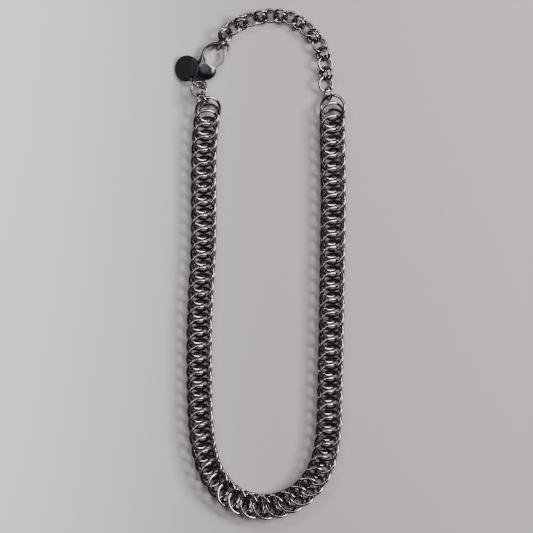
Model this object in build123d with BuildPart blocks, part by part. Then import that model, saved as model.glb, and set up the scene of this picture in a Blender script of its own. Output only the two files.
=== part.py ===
from build123d import *
from math import cos, radians, sin, sqrt
import os

# A chainmail necklace laid flat on a table in one closed loop: a long woven chain, a finer chain
# of small rings, a lobster clasp and a round tag. Millimetres, +Z up from the table, +Y to the clasp.

# Woven chain: round links in two rows, each link through two links ahead of it and two behind
LINK_WIRE = 1.2
LINK_ASPECT = 7.33               # a link's inside diameter over its wire
LINK_RADIUS = LINK_WIRE * (LINK_ASPECT + 1) / 2
LINK_PITCH = 1.057 * LINK_RADIUS  # from a link to the next one in its row
ROW_SHIFT = 0.02 * LINK_RADIUS   # how far each row stands out from the chain's middle line
LINK_TILT = 16.0                 # how far a link leans over the one before it, in degrees
LINK_YAW = 23.0                  # how far a link rises towards the other row, in degrees
BEND_SPAN = 3.5 * LINK_RADIUS    # the length of chain that shares one bend
TILT_IN_BEND = 15.0              # added tilt, yaw and outer row's lift where the chain bends,
YAW_IN_BEND = 8.0                # each for a bend whose radius is a link's mean radius
LIFT_IN_BEND = 0.52 * LINK_RADIUS

# The woven chain's middle line, from its clasp end round the bottom of the loop
CHAIN_ROUTE = [
    (-21.14, 62.25), (-22.64, 48.05), (-22.94, 25.75), (-23.14, 5.55), (-24.24, -14.75), (-24.74, -34.95),
    (-24.54, -55.25), (-23.14, -72.95), (-17.24, -88.45), (-7.14, -96.35), (3.86, -97.85), (15.16, -93.65),
    (23.26, -84.35), (26.96, -71.45), (27.86, -55.25), (28.36, -34.95), (28.76, -14.75), (29.06, 5.55),
    (29.36, 21.75), (29.16, 41.95), (28.86, 63.05),
]

# Finer chain: single rings, each joined to the next by a pair of smaller rings that lean outwards
RING_WIRE = 1.05
RING_GAPS = 8
SINGLE_SHARE = 0.361             # a single ring's mean radius over the distance between singles
PAIR_SHARE = 0.318               # the same for a ring of a pair
SINGLE_LEAN = -25.0
PAIR_LEAN = 50.0
SINGLE_HEIGHT = 2.6
PAIR_OUT = 0.6                   # the outer ring of a pair, out from the chain's line and down
PAIR_OUT_DROP = 0.31
PAIR_IN = -0.8                   # the inner ring of a pair, in from the line and up
PAIR_IN_RISE = 0.03
PAIR_LIFT_PER_DEGREE = 0.026     # how much a pair rises where the line turns between its singles
RING_ROUTE = [
    (-15.84, 88.55), (-12.14, 94.55), (-4.24, 98.55), (3.76, 100.05), (11.76, 99.25), (18.86, 94.65),
    (23.96, 88.15), (26.16, 80.45), (26.36, 72.55),
]

# Rings at the chains' ends, where they lie: centre x, y and z, heading of the level diameter
# and lean about it, in degrees
LAST_LINK = (29.06, 62.85, 4.0, 269.1, 19.6)
HOOK_RING = (-16.12, 88.74, 3.28, 62.5, -69.1)
HOOK_PAIR = [(-13.76, 92.19, 3.69, 60.8, 39.2), (-14.62, 92.62, 2.89, 61.0, 39.0)]
WEAVE_RING = (27.48, 68.73, 3.09, -87.8, 63.1)
CLASP_PAIR = [(-24.37, 66.14, 4.60, 107.8, 74.6), (-22.32, 67.01, 4.53, 119.5, 77.7)]
CLASP_RING = (-24.94, 70.35, 4.33, 193.8, 4.3)
TAG_RING = (-25.57, 73.23, 3.22, 137.0, 63.5)
TAG_RING_WIRE = 1.0
TAG_RING_RADIUS = 2.8

# Lobster clasp, lying on its side: a round body that a horn leaves and curls over into a hook.
# What follows is measured from the lever's pivot
PIVOT = (-18.96, 78.01)
BELLY = (-3.32, 0.61)
BELLY_RADIUS = 4.6
BELLY_HALF_HEIGHT = 2.05
BELLY_FLAT = 0.8                 # the radius of the body's flat middle, above and below
MOUTH = (2.1, 6.3)
MOUTH_RADIUS = 5.3
MOUTH_BEVEL = 0.4
# The horn and hook, section by section: middle x and y, heading in degrees, width, thickness
HORN_SECTIONS = [
    (-4.7, 2.4, 95, 4.2, 3.2),
    (-4.5, 5.0, 93, 2.3, 2.8),
    (-4.2, 7.1, 76, 1.3, 2.1),
    (-3.0, 9.2, 48, 1.15, 1.8),
    (-0.9, 10.4, 18, 1.25, 1.55),
    (1.9, 10.75, 0, 1.3, 1.5),
    (4.3, 10.6, -8, 1.3, 1.5),
    (5.85, 9.95, -45, 1.2, 1.4),
    (6.1, 9.0, -98, 1.0, 1.25),
    (5.8, 8.2, -120, 0.8, 1.05),
    (5.3, 7.75, -140, 0.55, 0.75),
]
EYE = (-4.39, -5.89)
EYE_RADIUS = 1.4
EYE_WIRE = 0.8
NECK_INSIDE = 0.5                # how far inside the body's rim the eye's neck begins
NECK_START_RADIUS = 0.8
NECK_END_RADIUS = 0.4

# The lever, with a gate arm that closes the mouth and a thumb arm, on a post across the body
LEVER_THICKNESS = 1.1
LEVER_TRAVEL = 12.0
SIDE_GAP = 0.15                  # between the lever and its slot
HUB_RADIUS = 1.05
POST_RADIUS = 0.5
POST_CLEARANCE = 0.05
GATE_WIDTH = 1.0
ELBOW = (2.9, 3.0)               # where the gate leaves the body and starts to curve
GATE_TIP = (4.1, 7.4)
THUMB = (-6.9, 5.2)
THUMB_RADIUS = 0.85
LEVER_EDGE = 0.2

# The tag: a thin round disc with a pierced lug, one edge on the table and the other on the clasp
TAG = (-29.84, 78.85)
TAG_RADIUS = 5.25
TAG_THICKNESS = 0.8
TAG_TILT = 25.0
TAG_EDGE = 0.2
LUG_OUT = 4.6                    # from the disc's middle
LUG_ANGLE = -59.0
LUG_RADIUS = 1.6
LUG_HOLE_RADIUS = 1.05

UP = Vector(0, 0, 1)


def point_at(line, distance):
    return line.position_at(distance, position_mode=PositionMode.LENGTH)


def heading_at(line, distance):
    return line.tangent_at(distance, position_mode=PositionMode.LENGTH)


def turn_between(line, start, end):
    """The left turn of a line between two distances along it, in degrees."""
    first = heading_at(line, max(0, start))
    last = heading_at(line, min(line.length, end))
    return first.get_signed_angle(last, UP)


def woven_link_place(line, distance, outer_row):
    """Where one woven link lies: it rests on the table, leaning over the link before it."""
    point = point_at(line, distance)
    travel = heading_at(line, distance)
    inward = UP.cross(travel)
    turn = max(0, turn_between(line, distance - BEND_SPAN / 2, distance + BEND_SPAN / 2))
    bend = radians(turn) * LINK_RADIUS / BEND_SPAN
    tilt = LINK_TILT + TILT_IN_BEND * bend
    yaw = LINK_YAW + YAW_IN_BEND * bend
    flatness = cos(radians(yaw)) * cos(radians(tilt))
    rest_height = LINK_RADIUS * sqrt(1 - flatness**2) + LINK_WIRE / 2
    side = -1 if outer_row else 1
    lift = LIFT_IN_BEND * bend if outer_row else 0
    centre = point + inward * (side * ROW_SHIFT) + UP * (rest_height + lift)
    level = Plane(origin=centre, x_dir=travel * side, z_dir=UP)
    return level.location * Rotation(yaw, -tilt, 0)


def ring_place(point, travel, out, height, lean):
    """Where a small ring lies beside a line of travel, its outer side raised by the lean."""
    outward = UP.cross(travel)
    centre = Vector(point.X, point.Y, height) + outward * out
    return Plane(origin=centre, x_dir=travel, z_dir=UP).location * Rotation(lean, 0, 0)


def end_ring_place(ring):
    """Where a ring of the tables above lies."""
    x, y, z, heading, lean = ring
    return Location((x, y, z), (0, 0, heading)) * Rotation(lean, 0, 0)


with BuildLine() as chain_line:
    Spline(*CHAIN_ROUTE)
chain_path = chain_line.edge()
link_count = int(chain_path.length / (LINK_PITCH / 2))
woven_places = [
    woven_link_place(chain_path, i * LINK_PITCH / 2, i % 2 == 0) for i in range(link_count)
]
woven_places.append(end_ring_place(LAST_LINK))

with BuildPart() as woven_chain:
    with Locations(*woven_places):
        Torus(LINK_RADIUS, LINK_WIRE / 2)

with BuildLine() as ring_line:
    Spline(*RING_ROUTE)
ring_path = ring_line.edge()
ring_pitch = ring_path.length / RING_GAPS
single_radius = SINGLE_SHARE * ring_pitch
pair_radius = PAIR_SHARE * ring_pitch

single_places = [end_ring_place(HOOK_RING)]
for i in range(1, RING_GAPS + 1):
    distance = i * ring_pitch
    point = point_at(ring_path, distance)
    travel = heading_at(ring_path, distance)
    single_places.append(ring_place(point, travel, 0, SINGLE_HEIGHT, SINGLE_LEAN))

pair_places = [end_ring_place(ring) for ring in HOOK_PAIR + [WEAVE_RING]]
for i in range(1, RING_GAPS):
    distance = (i + 0.5) * ring_pitch
    point = point_at(ring_path, distance)
    travel = heading_at(ring_path, distance)
    turn = abs(turn_between(ring_path, distance - ring_pitch / 2, distance + ring_pitch / 2))
    height = SINGLE_HEIGHT + PAIR_LIFT_PER_DEGREE * turn
    pair_places.append(ring_place(point, travel, PAIR_OUT, height - PAIR_OUT_DROP, PAIR_LEAN))
    pair_places.append(ring_place(point, travel, PAIR_IN, height + PAIR_IN_RISE, PAIR_LEAN))

with BuildPart() as extender_chain:
    with Locations(*single_places):
        Torus(single_radius, RING_WIRE / 2)
    with Locations(*pair_places):
        Torus(pair_radius, RING_WIRE / 2)

with BuildPart() as connector_rings:
    with Locations(end_ring_place(CLASP_RING)):
        Torus(single_radius, RING_WIRE / 2)
    with Locations(*[end_ring_place(ring) for ring in CLASP_PAIR]):
        Torus(pair_radius, RING_WIRE / 2)
    with Locations(end_ring_place(TAG_RING)):
        Torus(TAG_RING_RADIUS, TAG_RING_WIRE / 2)

# The clasp's middle plane, with its origin on the lever's pivot
clasp_plane = Plane(origin=(*PIVOT, BELLY_HALF_HEIGHT))
belly_centre = clasp_plane.from_local_coords((*BELLY, 0))
eye_centre = clasp_plane.from_local_coords((*EYE, 0))
eye_travel = (eye_centre - belly_centre).normalized()
neck_start = belly_centre + eye_travel * (BELLY_RADIUS - NECK_INSIDE)
neck_end = eye_centre - eye_travel * EYE_RADIUS
slot_height = LEVER_THICKNESS + 2 * SIDE_GAP


def horn_plane(section):
    """The plane across the horn at one of its sections, its X along the clasp's thickness."""
    x, y, heading = section[:3]
    middle = clasp_plane.from_local_coords((x, y, 0))
    along = Vector(cos(radians(heading)), sin(radians(heading)), 0)
    return Plane(origin=middle, x_dir=UP, z_dir=along)


with BuildPart() as clasp_body:
    with BuildSketch(Plane(origin=belly_centre, x_dir=(1, 0, 0), z_dir=(0, -1, 0))):
        with BuildLine():
            side = EllipticalCenterArc(
                (BELLY_FLAT, 0), BELLY_RADIUS - BELLY_FLAT, BELLY_HALF_HEIGHT, start_angle=-90,
                arc_size=180,
            )
            Polyline(side @ 1, (0, BELLY_HALF_HEIGHT), (0, -BELLY_HALF_HEIGHT), side @ 0)
        make_face()
    revolve(axis=Axis(belly_centre, UP))
    # The inside of the hook's mouth, its edges bevelled
    with BuildSketch(clasp_plane):
        with Locations(MOUTH):
            Circle(MOUTH_RADIUS)
    extrude(amount=2 * BELLY_HALF_HEIGHT, both=True, mode=Mode.SUBTRACT)
    chamfer(clasp_body.faces().filter_by(GeomType.CYLINDER).edges(), MOUTH_BEVEL)
    for section in HORN_SECTIONS:
        with BuildSketch(horn_plane(section)):
            Ellipse(section[4] / 2, section[3] / 2)
    loft()
    # The slot that the lever swings in, open past the thumb arm and into the mouth
    with BuildSketch(clasp_plane):
        Circle(HUB_RADIUS + SIDE_GAP)
        with Locations(THUMB, Vector(*THUMB).rotate(Axis.Z, LEVER_TRAVEL)):
            Circle(THUMB_RADIUS + SIDE_GAP)
        with Locations(ELBOW, Vector(*ELBOW).rotate(Axis.Z, LEVER_TRAVEL)):
            Circle(GATE_WIDTH / 2 + SIDE_GAP)
        make_hull()
    extrude(amount=slot_height / 2, both=True, mode=Mode.SUBTRACT)
    with Locations(clasp_plane):
        Cylinder(POST_RADIUS, slot_height + SIDE_GAP)
    # The eye and its neck
    with BuildSketch(Plane(origin=belly_centre)):
        with Locations(neck_start - belly_centre):
            Circle(NECK_START_RADIUS)
        with Locations(neck_end - belly_centre):
            Circle(NECK_END_RADIUS)
        make_hull()
    extrude(amount=EYE_WIRE / 2, both=True)
    with Locations(eye_centre):
        Torus(EYE_RADIUS, EYE_WIRE / 2)

with BuildPart() as clasp_lever:
    with BuildSketch(clasp_plane):
        with BuildLine():
            straight = Line((0, 0), ELBOW)
            TangentArc(ELBOW, GATE_TIP, tangent=straight % 1)
        trace(line_width=GATE_WIDTH)
        with Locations(GATE_TIP):
            Circle(GATE_WIDTH / 2)
    extrude(amount=LEVER_THICKNESS / 2, both=True)
    with BuildSketch(clasp_plane):
        Circle(HUB_RADIUS)
        with Locations(THUMB):
            Circle(THUMB_RADIUS)
        make_hull()
    extrude(amount=LEVER_THICKNESS / 2, both=True)
    flat_faces = clasp_lever.faces().filter_by(Axis.Z)
    fillet(flat_faces.edges(), LEVER_EDGE)
    with Locations(clasp_plane):
        Cylinder(POST_RADIUS + POST_CLEARANCE, 2 * LEVER_THICKNESS, mode=Mode.SUBTRACT)

tag_lean = radians(TAG_TILT)
# The height at which the disc's rounded edge touches the table
tag_rest = (
    (TAG_RADIUS - TAG_EDGE) * sin(tag_lean)
    + (TAG_THICKNESS / 2 - TAG_EDGE) * cos(tag_lean)
    + TAG_EDGE
)
tag_plane = Plane(
    origin=(*TAG, tag_rest),
    x_dir=(cos(tag_lean), 0, sin(tag_lean)),
    z_dir=(-sin(tag_lean), 0, cos(tag_lean)),
)

with BuildPart() as tag_disc:
    with BuildSketch(tag_plane):
        Circle(TAG_RADIUS)
        with PolarLocations(LUG_OUT, 1, LUG_ANGLE):
            Circle(LUG_RADIUS)
            Circle(LUG_HOLE_RADIUS, mode=Mode.SUBTRACT)
    extrude(amount=TAG_THICKNESS / 2, both=True)
    fillet(tag_disc.faces().filter_by(Axis(tag_plane.origin, tag_plane.z_dir)).edges(), TAG_EDGE)

os.makedirs("parts", exist_ok=True)
NODES = {
    "woven_chain": woven_chain,
    "extender_chain": extender_chain,
    "connector_rings": connector_rings,
    "clasp_body": clasp_body,
    "clasp_lever": clasp_lever,
    "tag_disc": tag_disc,
}
for name, node in NODES.items():
    node.part.label = name
    export_step(node.part, "parts/" + name + ".step")
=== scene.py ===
from collections import namedtuple
from math import cos, pi, radians, sin, tau

import bmesh
import bpy
import numpy as np
from mathutils import Matrix, Vector


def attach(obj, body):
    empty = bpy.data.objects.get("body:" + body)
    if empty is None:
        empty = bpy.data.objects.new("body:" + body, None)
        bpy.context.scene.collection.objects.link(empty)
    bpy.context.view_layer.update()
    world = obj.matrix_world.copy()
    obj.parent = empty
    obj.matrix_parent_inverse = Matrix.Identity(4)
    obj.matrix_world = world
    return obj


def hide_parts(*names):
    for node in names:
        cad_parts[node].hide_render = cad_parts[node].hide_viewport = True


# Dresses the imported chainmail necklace: round wire rings with butted ends, a cast lobster clasp,
# its pressed lever and a plain round tag, on a pale card. Metres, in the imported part's frame.
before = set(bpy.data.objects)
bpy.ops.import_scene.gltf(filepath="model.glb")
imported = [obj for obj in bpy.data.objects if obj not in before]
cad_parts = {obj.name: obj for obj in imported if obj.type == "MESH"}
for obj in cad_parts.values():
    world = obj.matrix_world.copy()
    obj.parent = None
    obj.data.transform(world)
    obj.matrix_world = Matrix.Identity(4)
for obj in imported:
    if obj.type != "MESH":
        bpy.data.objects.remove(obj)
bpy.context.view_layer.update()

MM = 0.001
SAME_CORNER = 0.001 * MM         # corners of a mesh nearer than this are one

LINK_WIRE = 1.2 * MM
RING_WIRE = 1.05 * MM
TAG_RING_WIRE = 1.0 * MM
TAG_RING_RADIUS = 2.8 * MM
RADIUS_SLACK = 0.1 * MM          # the tag's ring is told from the rings beside it by its radius
STRANDS_PART_AT = 2 * MM         # between the woven chain's left strand and its right one

# The clasp's mouth, round whose edge a highlight is painted, from the body up along the horn
MOUTH_MIDDLE = (-16.86 * MM, 84.31 * MM, 0)
HIGHLIGHT_PAINTED_TO = (5.80 * MM, 5.95 * MM)         # from the mouth's middle: painted highlight out to the first, fading to plain plating at the second
HIGHLIGHT_PAINTED_UP_TO = (84.8 * MM, 87.3 * MM)      # the same along the horn, by its place towards the hook

PHOTO_PIXELS = 533
PIXEL = 0.405 * MM               # one pixel of the photograph on the table
CENTRE_PIXEL = (260.6, 263.6)    # where the frame's origin lies in the photograph
CAMERA_HEIGHT = 0.9
SENSOR_WIDTH = 36.0              # in millimetres, as the lens length is
TABLE_SIZE = 3.0


def linear(hex_colour):
    """A colour given as sRGB hex, as the shader's linear values."""
    channels = [int(hex_colour[i:i + 2], 16) / 255 for i in (1, 3, 5)]
    return [c / 12.92 if c <= 0.04045 else ((c + 0.055) / 1.055) ** 2.4 for c in channels] + [1.0]


def deselect():
    bpy.ops.object.select_all(action="DESELECT")


# Materials


def add_node(tree, kind, inputs=None, **settings):
    """A node with its settings, and its inputs given as values or as other nodes' outputs."""
    node = tree.nodes.new(kind)
    for name, value in settings.items():
        setattr(node, name, value)
    for name, value in (inputs or {}).items():
        if isinstance(value, bpy.types.NodeSocket):
            tree.links.new(value, node.inputs[name])
        else:
            node.inputs[name].default_value = value
    return node


def new_material(name):
    """A material with its node tree, its shader and the place on the piece that patterns read."""
    material = bpy.data.materials.new(name)
    material.use_nodes = True
    tree = material.node_tree
    here = add_node(tree, "ShaderNodeTexCoord").outputs["Object"]
    return material, tree, tree.nodes["Principled BSDF"], here


def drawn_steel_wire():
    """Polished stainless wire: a dark grey mirror, dulled in faint patches by handling."""
    material, tree, shader, here = new_material("drawn stainless wire, polished")
    shader.inputs["Metallic"].default_value = 1.0
    # Handling marks, drawn at 1.5 mm because finer ones don't show
    marks = add_node(
        tree, "ShaderNodeTexNoise", {"Vector": here, "Scale": 1 / (1.5 * MM), "Detail": 3.0}
    )
    dulled = add_node(
        tree, "ShaderNodeMapRange",
        {"Value": marks.outputs["Fac"], "From Min": 0.35, "From Max": 0.7,
         "To Min": 0.08, "To Max": 0.17},
    )
    tree.links.new(dulled.outputs["Result"], shader.inputs["Roughness"])
    # The oxide's tone changes a little over a few links
    tone = add_node(
        tree, "ShaderNodeTexNoise", {"Vector": here, "Scale": 1 / (9 * MM), "Detail": 1.0}
    )
    colour = add_node(
        tree, "ShaderNodeMix", data_type="RGBA",
        inputs={"Factor": tone.outputs["Fac"], "A": linear("#7C7676"), "B": linear("#928B8A")},
    )
    tree.links.new(colour.outputs["Result"], shader.inputs["Base Color"])
    return material


def blackened_steel(name, hex_colour, roughness):
    """Dark plated steel: a soft deep grey shine, duller in patches where fingers touch it."""
    material, tree, shader, here = new_material(name)
    shader.inputs["Metallic"].default_value = 1.0
    smudges = add_node(
        tree, "ShaderNodeTexNoise", {"Vector": here, "Scale": 1 / (1.2 * MM), "Detail": 4.0}
    )
    dulled = add_node(
        tree, "ShaderNodeMapRange",
        {"Value": smudges.outputs["Fac"], "From Min": 0.3, "From Max": 0.75,
         "To Min": roughness, "To Max": roughness * 1.8},
    )
    tree.links.new(dulled.outputs["Result"], shader.inputs["Roughness"])
    shader.inputs["Base Color"].default_value = linear(hex_colour)
    # The metal's own grain under the plating breaks the edges of the highlights
    grain = add_node(
        tree, "ShaderNodeTexNoise", {"Vector": here, "Scale": 1 / (0.25 * MM), "Detail": 2.0}
    )
    relief = add_node(
        tree, "ShaderNodeBump",
        {"Height": grain.outputs["Fac"], "Strength": 0.06, "Distance": 0.05 * MM},
    )
    tree.links.new(relief.outputs["Normal"], shader.inputs["Normal"])
    return material


def paint_mouth_highlight(material, hex_colour, roughness):
    """Painted highlight: a near-white, rougher metal colour round the mouth's edge and up the horn,
    standing in for the light the bevel catches.
    """
    tree = material.node_tree
    shader = tree.nodes["Principled BSDF"]
    here = tree.nodes["Texture Coordinate"].outputs["Object"]
    level = add_node(
        tree, "ShaderNodeVectorMath", {0: here, 1: (1, 1, 0)}, operation="MULTIPLY"
    )
    away = add_node(
        tree, "ShaderNodeVectorMath", {0: level.outputs["Vector"], 1: MOUTH_MIDDLE},
        operation="DISTANCE",
    )
    near = add_node(
        tree, "ShaderNodeMapRange",
        {"Value": away.outputs["Value"], "From Min": HIGHLIGHT_PAINTED_TO[0], "From Max": HIGHLIGHT_PAINTED_TO[1],
         "To Min": 1.0, "To Max": 0.0},
    )
    along = add_node(tree, "ShaderNodeSeparateXYZ", {"Vector": here})
    below = add_node(
        tree, "ShaderNodeMapRange",
        {"Value": along.outputs["Y"], "From Min": HIGHLIGHT_PAINTED_UP_TO[0], "From Max": HIGHLIGHT_PAINTED_UP_TO[1],
         "To Min": 1.0, "To Max": 0.0},
    )
    # Where the highlight is painted: near the mouth's edge, and below the horn's end
    painted_highlight = add_node(
        tree, "ShaderNodeMath", {0: near.outputs["Result"], 1: below.outputs["Result"]},
        operation="MULTIPLY",
    )
    colour = add_node(
        tree, "ShaderNodeMix", data_type="RGBA",
        inputs={"Factor": painted_highlight.outputs["Value"], "A": shader.inputs["Base Color"].default_value,
                "B": linear(hex_colour)},
    )
    tree.links.new(colour.outputs["Result"], shader.inputs["Base Color"])
    plated = shader.inputs["Roughness"].links[0].from_socket
    finish = add_node(
        tree, "ShaderNodeMix", data_type="FLOAT",
        inputs={"Factor": painted_highlight.outputs["Value"], "A": plated, "B": roughness},
    )
    tree.links.new(finish.outputs["Result"], shader.inputs["Roughness"])


def matt_card():
    """Lilac-grey card with a fine felt of fibres: dull all over, with no shine of its own, and
    painted light that pales it towards the left.
    """
    material, tree, shader, here = new_material("matt card, pale lilac grey")
    fibres = add_node(
        tree, "ShaderNodeTexNoise", {"Vector": here, "Scale": 1 / (2.5 * MM), "Detail": 3.0}
    )
    card = add_node(
        tree, "ShaderNodeMix", data_type="RGBA",
        inputs={"Factor": fibres.outputs["Fac"], "A": linear("#A79EA5"), "B": linear("#ACA3AA")},
    )
    # Painted light: the card is painted paler from the middle of the picture to its left edge,
    # standing in for brighter light falling there
    across = add_node(tree, "ShaderNodeSeparateXYZ", {"Vector": here})
    painted_light_fade = add_node(
        tree, "ShaderNodeMapRange", interpolation_type="SMOOTHSTEP",
        inputs={"Value": across.outputs["X"], "From Min": -130 * MM, "From Max": 10 * MM,
                "To Min": 1.0, "To Max": 0.0},
    )
    colour = add_node(
        tree, "ShaderNodeMix", data_type="RGBA",
        inputs={"Factor": painted_light_fade.outputs["Result"], "A": card.outputs["Result"],
                "B": linear("#F0EEEF")},
    )
    tree.links.new(colour.outputs["Result"], shader.inputs["Base Color"])
    shader.inputs["Roughness"].default_value = 0.9
    return material


wire_steel = drawn_steel_wire()
clasp_steel = blackened_steel("cast steel, black nickel plated, highlight painted at mouth", "#47454A", 0.22)
# Painted highlight: the mouth's bevel is given a near-white colour where light glints on it
paint_mouth_highlight(clasp_steel, "#E4E0E0", 0.5)
lever_steel = blackened_steel("pressed steel, black nickel plated", "#7C797B", 0.18)
tag_steel = blackened_steel("rolled steel, blackened and buffed", "#3C3B40", 0.42)


# Wire rings

RING_SIDES = 8
RING_STEPS = 24
SUBDIVISIONS = 1
BUTT_GROOVE = 0.10 * MM          # half the width of the groove where a ring's cut ends meet
GROOVE_FLOOR = 0.9               # the wire's thickness that is left at the groove's bottom

Ring = namedtuple("Ring", "centre axis radius")


def drawn_in(corners):
    """How far subdivision draws in a round that starts with so many corners."""
    return 1 - (1 - cos(tau / corners)) / 3


def corners_of_one_solid(unseen):
    """Takes one solid's corners out of the set, and gives their places."""
    queue = [unseen.pop()]
    places = []
    while queue:
        corner = queue.pop()
        places.append(corner.co[:])
        for edge in corner.link_edges:
            other = edge.other_vert(corner)
            if other in unseen:
                unseen.discard(other)
                queue.append(other)
    return np.array(places)


def loose_rings(node):
    """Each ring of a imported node: its centre, the axis through its hole and its mean radius."""
    grid = bmesh.new()
    grid.from_mesh(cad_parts[node].data)
    bmesh.ops.remove_doubles(grid, verts=grid.verts, dist=0.1 * SAME_CORNER)
    unseen = set(grid.verts)
    rings = []
    while unseen:
        places = corners_of_one_solid(unseen)
        centre = places.mean(axis=0)
        away = places - centre
        axis = np.linalg.svd(away, full_matrices=False)[2][2]
        axis = axis if axis[2] > 0 else -axis
        radius = float(np.mean(np.linalg.norm(away - np.outer(away @ axis, axis), axis=1)))
        rings.append(Ring(Vector(centre), Vector(axis), radius))
    grid.free()
    # From the bottom of the loop up, so that every run sets them out alike
    rings.sort(key=lambda ring: (round(ring.centre.y, 5), round(ring.centre.x, 5)))
    return rings


def select_the_cut(ring, wire):
    """Selects the corners where the wire's two ends meet."""
    bpy.ops.mesh.select_all(action="DESELECT")
    grid = bmesh.from_edit_mesh(ring.data)
    for corner in grid.verts:
        corner.select = corner.co.x > 0 and abs(corner.co.y) < 0.01 * wire
    grid.select_flush(True)
    bmesh.update_edit_mesh(ring.data)


def wire_ring(radius, wire):
    """One ring of round wire bent until its cut ends butt, lying flat round the origin."""
    deselect()
    bpy.ops.mesh.primitive_circle_add(
        vertices=RING_SIDES, radius=wire / 2 / drawn_in(RING_SIDES),
        location=(radius / drawn_in(RING_STEPS), 0, 0), rotation=(pi / 2, 0, 0),
    )
    ring = bpy.context.object
    bpy.ops.object.transform_apply(location=True, rotation=True, scale=True)
    bpy.ops.object.mode_set(mode="EDIT")
    bpy.ops.mesh.select_all(action="SELECT")
    bpy.ops.mesh.spin(steps=RING_STEPS, angle=tau, center=(0, 0, 0), axis=(0, 0, 1))
    bpy.ops.mesh.select_all(action="SELECT")
    bpy.ops.mesh.remove_doubles(threshold=SAME_CORNER)
    bpy.ops.mesh.normals_make_consistent(inside=False)
    # The butted ends: a narrow band of the wire, drawn in along its middle
    select_the_cut(ring, wire)
    bpy.ops.mesh.bevel(offset=BUTT_GROOVE, segments=2, affect="EDGES")
    select_the_cut(ring, wire)
    bpy.ops.transform.resize(
        value=(GROOVE_FLOOR, 1, GROOVE_FLOOR), center_override=(radius, 0, 0)
    )
    bpy.ops.object.mode_set(mode="OBJECT")
    return ring


def row_of_rings(name, node, rings, wire, seed):
    """A chain's rings as one piece, each turned about its own axis by chance."""
    chance = np.random.default_rng(seed)
    patterns = {}
    copies = []
    for centre, axis, radius in rings:
        size = round(radius / MM, 2)
        if size not in patterns:
            patterns[size] = wire_ring(radius, wire)
        copy = patterns[size].copy()
        copy.data = patterns[size].data.copy()
        turn = Matrix.Rotation(chance.uniform(0, tau), 4, "Z")
        level = axis.to_track_quat("Z", "Y").to_matrix().to_4x4()
        copy.data.transform(Matrix.Translation(centre) @ level @ turn)
        copy.matrix_world = Matrix()
        bpy.context.collection.objects.link(copy)
        copies.append(copy)
    for pattern in patterns.values():
        bpy.data.objects.remove(pattern)
    deselect()
    for copy in copies:
        copy.select_set(True)
    bpy.context.view_layer.objects.active = copies[0]
    bpy.ops.object.join()
    row = bpy.context.object
    row.name = name
    smooth = row.modifiers.new("round wire", "SUBSURF")
    smooth.levels = SUBDIVISIONS
    smooth.render_levels = SUBDIVISIONS
    bpy.ops.object.modifier_apply(modifier=smooth.name)
    bpy.ops.object.shade_smooth()
    row.data.materials.clear()
    row.data.materials.append(wire_steel)
    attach(row, "necklace")
    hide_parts(node)


woven = loose_rings("woven_chain")
left_rows = [ring for ring in woven if ring.centre.x < STRANDS_PART_AT]
right_rows = [ring for ring in woven if ring.centre.x >= STRANDS_PART_AT]
row_of_rings("woven_links_left", "woven_chain", left_rows, LINK_WIRE, seed=3)
row_of_rings("woven_links_right", "woven_chain", right_rows, LINK_WIRE, seed=4)
finer = loose_rings("extender_chain")
row_of_rings("finer_chain_rings", "extender_chain", finer, RING_WIRE, seed=5)

joining = loose_rings("connector_rings")
tag_rings = [ring for ring in joining if abs(ring.radius - TAG_RING_RADIUS) < RADIUS_SLACK]
eye_rings = [ring for ring in joining if abs(ring.radius - TAG_RING_RADIUS) >= RADIUS_SLACK]
row_of_rings("tag_ring", "connector_rings", tag_rings, TAG_RING_WIRE, seed=6)
row_of_rings("eye_rings", "connector_rings", eye_rings, RING_WIRE, seed=7)


# The clasp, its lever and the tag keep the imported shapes, polished over their small edges

POLISHED_OVER = 60               # edges up to this many degrees are rounded by the polish


def polished_piece(name, node, material, body):
    """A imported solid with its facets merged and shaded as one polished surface."""
    deselect()
    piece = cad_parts[node].copy()
    piece.data = piece.data.copy()
    piece.name = name
    bpy.context.collection.objects.link(piece)
    piece.select_set(True)
    bpy.context.view_layer.objects.active = piece
    bpy.ops.object.mode_set(mode="EDIT")
    bpy.ops.mesh.select_all(action="SELECT")
    bpy.ops.mesh.remove_doubles(threshold=SAME_CORNER)
    bpy.ops.object.mode_set(mode="OBJECT")
    bpy.ops.object.shade_smooth_by_angle(angle=radians(POLISHED_OVER))
    piece.data.materials.clear()
    piece.data.materials.append(material)
    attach(piece, body)
    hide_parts(node)


polished_piece("clasp_casting", "clasp_body", clasp_steel, "necklace")
polished_piece("clasp_gate", "clasp_lever", lever_steel, "lever")
polished_piece("round_tag", "tag_disc", tag_steel, "necklace")


# Table, light and camera

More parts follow.
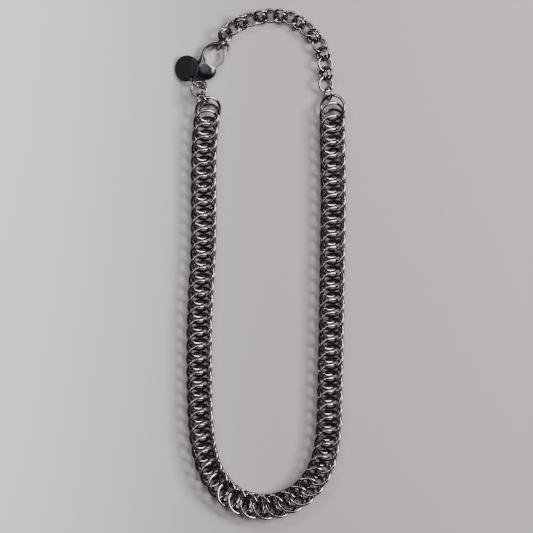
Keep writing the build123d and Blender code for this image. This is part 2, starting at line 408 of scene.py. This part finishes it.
deselect()
bpy.ops.mesh.primitive_plane_add(size=TABLE_SIZE, location=(0, 0, 0))
table = bpy.context.object
table.name = "table"
table.data.materials.append(matt_card())


def soft_light(name, place, width, height, power):
    """A rectangular studio light at a place, turned to face the necklace's middle."""
    lamp = bpy.data.lights.new(name, "AREA")
    lamp.shape = "RECTANGLE"
    lamp.size = width
    lamp.size_y = height
    lamp.energy = power
    holder = bpy.data.objects.new(name, lamp)
    holder.location = place
    holder.rotation_euler = (-Vector(place)).to_track_quat("-Z", "Y").to_euler()
    bpy.context.collection.objects.link(holder)


soft_light("softbox, right", (0.72, 0.10, 0.62), width=0.42, height=0.32, power=13.4)
soft_light(
    "overhead, a little to the upper left", (-0.14, 0.20, 1.3), width=0.7, height=0.7, power=2.2
)

# A bank of strip lights round the clasp end, which draws one long highlight over each ring
BANK_DIRECTIONS = (42, 72, 102, 132)    # degrees from the picture's right, towards its top
BANK_REACH = 0.62
BANK_HEIGHT = 0.76
for direction in BANK_DIRECTIONS:
    turned = radians(direction)
    strip_place = (BANK_REACH * cos(turned), BANK_REACH * sin(turned), BANK_HEIGHT)
    soft_light(f"strip at {direction} degrees", strip_place, width=0.36, height=0.09, power=1.65)

world = bpy.data.worlds.new("dim studio")
world.use_nodes = True
background = world.node_tree.nodes["Background"]
background.inputs["Color"].default_value = linear("#8C878A")
background.inputs["Strength"].default_value = 0.09
bpy.context.scene.world = world

# Straight above, with the picture's frame and the necklace's place in it as in the photograph
camera_data = bpy.data.cameras.new("overhead")
camera = bpy.data.objects.new("overhead", camera_data)
camera_data.sensor_fit = "HORIZONTAL"
camera_data.sensor_width = SENSOR_WIDTH
camera_data.lens = SENSOR_WIDTH * CAMERA_HEIGHT / (PHOTO_PIXELS * PIXEL)
middle = PHOTO_PIXELS / 2
camera.location = (
    (middle - CENTRE_PIXEL[0]) * PIXEL, (CENTRE_PIXEL[1] - middle) * PIXEL, CAMERA_HEIGHT
)
camera.rotation_euler = (0, 0, 0)
bpy.context.collection.objects.link(camera)
bpy.context.scene.camera = camera
